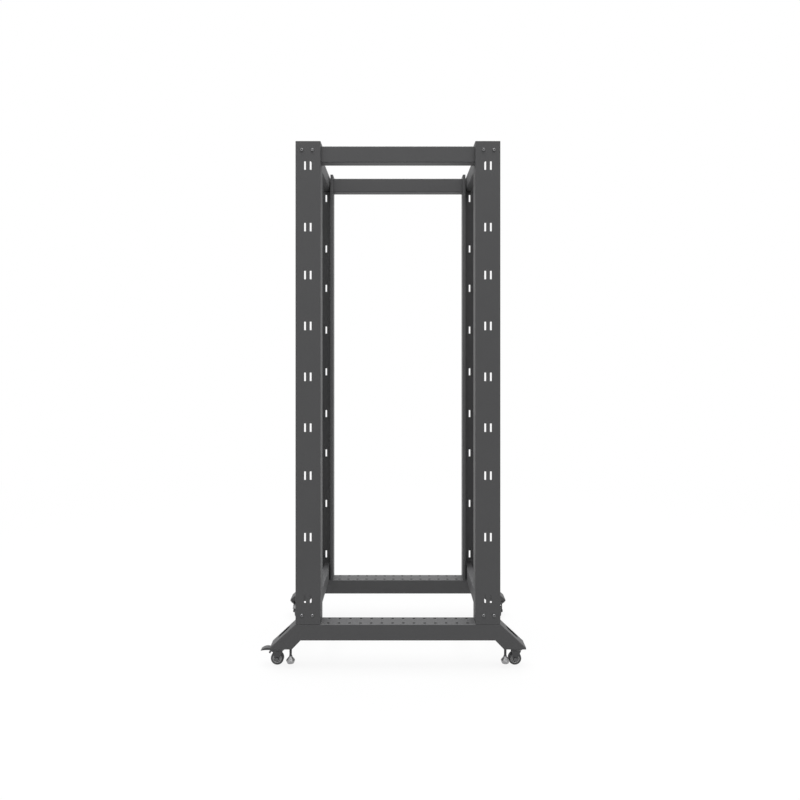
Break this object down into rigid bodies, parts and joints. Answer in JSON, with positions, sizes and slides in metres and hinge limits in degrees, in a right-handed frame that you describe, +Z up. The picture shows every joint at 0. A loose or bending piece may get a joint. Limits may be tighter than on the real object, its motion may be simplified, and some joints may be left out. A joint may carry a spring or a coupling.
{
  "type": "four post open frame rack",
  "caption": "Free-standing open frame server rack: lipped channel posts with square mounting holes on splayed base rails, with casters and levelling feet.",
  "frame": {"origin": "on the floor plane under the caster wheels, midway between the four posts", "axes": "+Z up, X along the rack's depth with the front and its braked casters at -X, Y across the rack's width with the left side at +Y"},
  "size_m": [1.043, 0.6, 2.06],
  "materials": {
    "frame_steel": "fine-textured dark grey powder coat",
    "foot_plate_steel": "fine-textured dark grey powder coat",
    "caster_steel": "dark coated steel",
    "axle_steel": "zinc plated",
    "wheel_plastic": "dark moulded nylon",
    "tyre_rubber": "black, matt",
    "pedal_steel": "dark coated steel",
    "stud_steel": "zinc plated",
    "pad_steel": "zinc plated"
  },
  "bodies": {
    "frame": {"front_left_post": "frame_steel", "front_right_post": "frame_steel", "rear_left_post": "frame_steel", "rear_right_post": "frame_steel", "left_base_rail": "frame_steel", "left_top_bar": "frame_steel", "right_base_rail": "frame_steel", "right_top_bar": "frame_steel", "front_top_crossbar": "frame_steel", "front_bottom_crossbar": "frame_steel", "rear_top_crossbar": "frame_steel", "rear_bottom_crossbar": "frame_steel", "front_left_foot_plate": "foot_plate_steel", "front_right_foot_plate": "foot_plate_steel", "rear_left_foot_plate": "foot_plate_steel", "rear_right_foot_plate": "foot_plate_steel"},
    "front_left_fork": {"front_left_caster_fork": "caster_steel", "front_left_caster_axle": "axle_steel"},
    "front_left_wheel": {"front_left_caster_wheel": "wheel_plastic", "front_left_caster_tyre": "tyre_rubber"},
    "front_left_foot": {"front_left_levelling_stud": "stud_steel", "front_left_levelling_pad": "pad_steel"},
    "front_left_brake": {"front_left_brake_pedal": "pedal_steel"},
    "front_right_fork": {"front_right_caster_fork": "caster_steel", "front_right_caster_axle": "axle_steel"},
    "front_right_wheel": {"front_right_caster_wheel": "wheel_plastic", "front_right_caster_tyre": "tyre_rubber"},
    "front_right_foot": {"front_right_levelling_stud": "stud_steel", "front_right_levelling_pad": "pad_steel"},
    "front_right_brake": {"front_right_brake_pedal": "pedal_steel"},
    "rear_left_fork": {"rear_left_caster_fork": "caster_steel", "rear_left_caster_axle": "axle_steel"},
    "rear_left_wheel": {"rear_left_caster_wheel": "wheel_plastic", "rear_left_caster_tyre": "tyre_rubber"},
    "rear_left_foot": {"rear_left_levelling_stud": "stud_steel", "rear_left_levelling_pad": "pad_steel"},
    "rear_right_fork": {"rear_right_caster_fork": "caster_steel", "rear_right_caster_axle": "axle_steel"},
    "rear_right_wheel": {"rear_right_caster_wheel": "wheel_plastic", "rear_right_caster_tyre": "tyre_rubber"},
    "rear_right_foot": {"rear_right_levelling_stud": "stud_steel", "rear_right_levelling_pad": "pad_steel"}
  },
  "joints": [
    {"name": "front_left_swivel", "type": "hinge", "parent": "frame", "child": "front_left_fork", "pos_m": [-0.47, 0.253, 0.08], "axis": [0, 0, 1], "range_deg": [-150, 90]},
    {"name": "front_left_wheel_spin", "type": "hinge", "parent": "front_left_fork", "child": "front_left_wheel", "pos_m": [-0.47, 0.2455, 0.0255], "axis": [1, 0, 0], "continuous": true},
    {"name": "front_left_brake_press", "type": "hinge", "parent": "front_left_fork", "child": "front_left_brake", "pos_m": [-0.47, 0.228, 0.06], "axis": [1, 0, 0], "range_deg": [0, 12]},
    {"name": "front_left_foot_level", "type": "slide", "parent": "frame", "child": "front_left_foot", "axis": [0, 0, 1], "range_m": [-0.028, 0.004]},
    {"name": "front_right_swivel", "type": "hinge", "parent": "frame", "child": "front_right_fork", "pos_m": [-0.47, -0.253, 0.08], "axis": [0, 0, 1], "range_deg": [-150, 120]},
    {"name": "front_right_wheel_spin", "type": "hinge", "parent": "front_right_fork", "child": "front_right_wheel", "pos_m": [-0.4775, -0.253, 0.0255], "axis": [0, 1, 0], "continuous": true},
    {"name": "front_right_brake_press", "type": "hinge", "parent": "front_right_fork", "child": "front_right_brake", "pos_m": [-0.495, -0.253, 0.06], "axis": [0, -1, 0], "range_deg": [0, 12]},
    {"name": "front_right_foot_level", "type": "slide", "parent": "frame", "child": "front_right_foot", "axis": [0, 0, 1], "range_m": [-0.028, 0.004]},
    {"name": "rear_left_swivel", "type": "hinge", "parent": "frame", "child": "rear_left_fork", "pos_m": [0.47, 0.253, 0.08], "axis": [0, 0, 1], "continuous": true},
    {"name": "rear_left_wheel_spin", "type": "hinge", "parent": "rear_left_fork", "child": "rear_left_wheel", "pos_m": [0.47, 0.2455, 0.0255], "axis": [1, 0, 0], "continuous": true},
    {"name": "rear_left_foot_level", "type": "slide", "parent": "frame", "child": "rear_left_foot", "axis": [0, 0, 1], "range_m": [-0.028, 0.004]},
    {"name": "rear_right_swivel", "type": "hinge", "parent": "frame", "child": "rear_right_fork", "pos_m": [0.47, -0.253, 0.08], "axis": [0, 0, 1], "continuous": true},
    {"name": "rear_right_wheel_spin", "type": "hinge", "parent": "rear_right_fork", "child": "rear_right_wheel", "pos_m": [0.4625, -0.253, 0.0255], "axis": [0, 1, 0], "continuous": true},
    {"name": "rear_right_foot_level", "type": "slide", "parent": "frame", "child": "rear_right_foot", "axis": [0, 0, 1], "range_m": [-0.028, 0.004]}
  ]
}
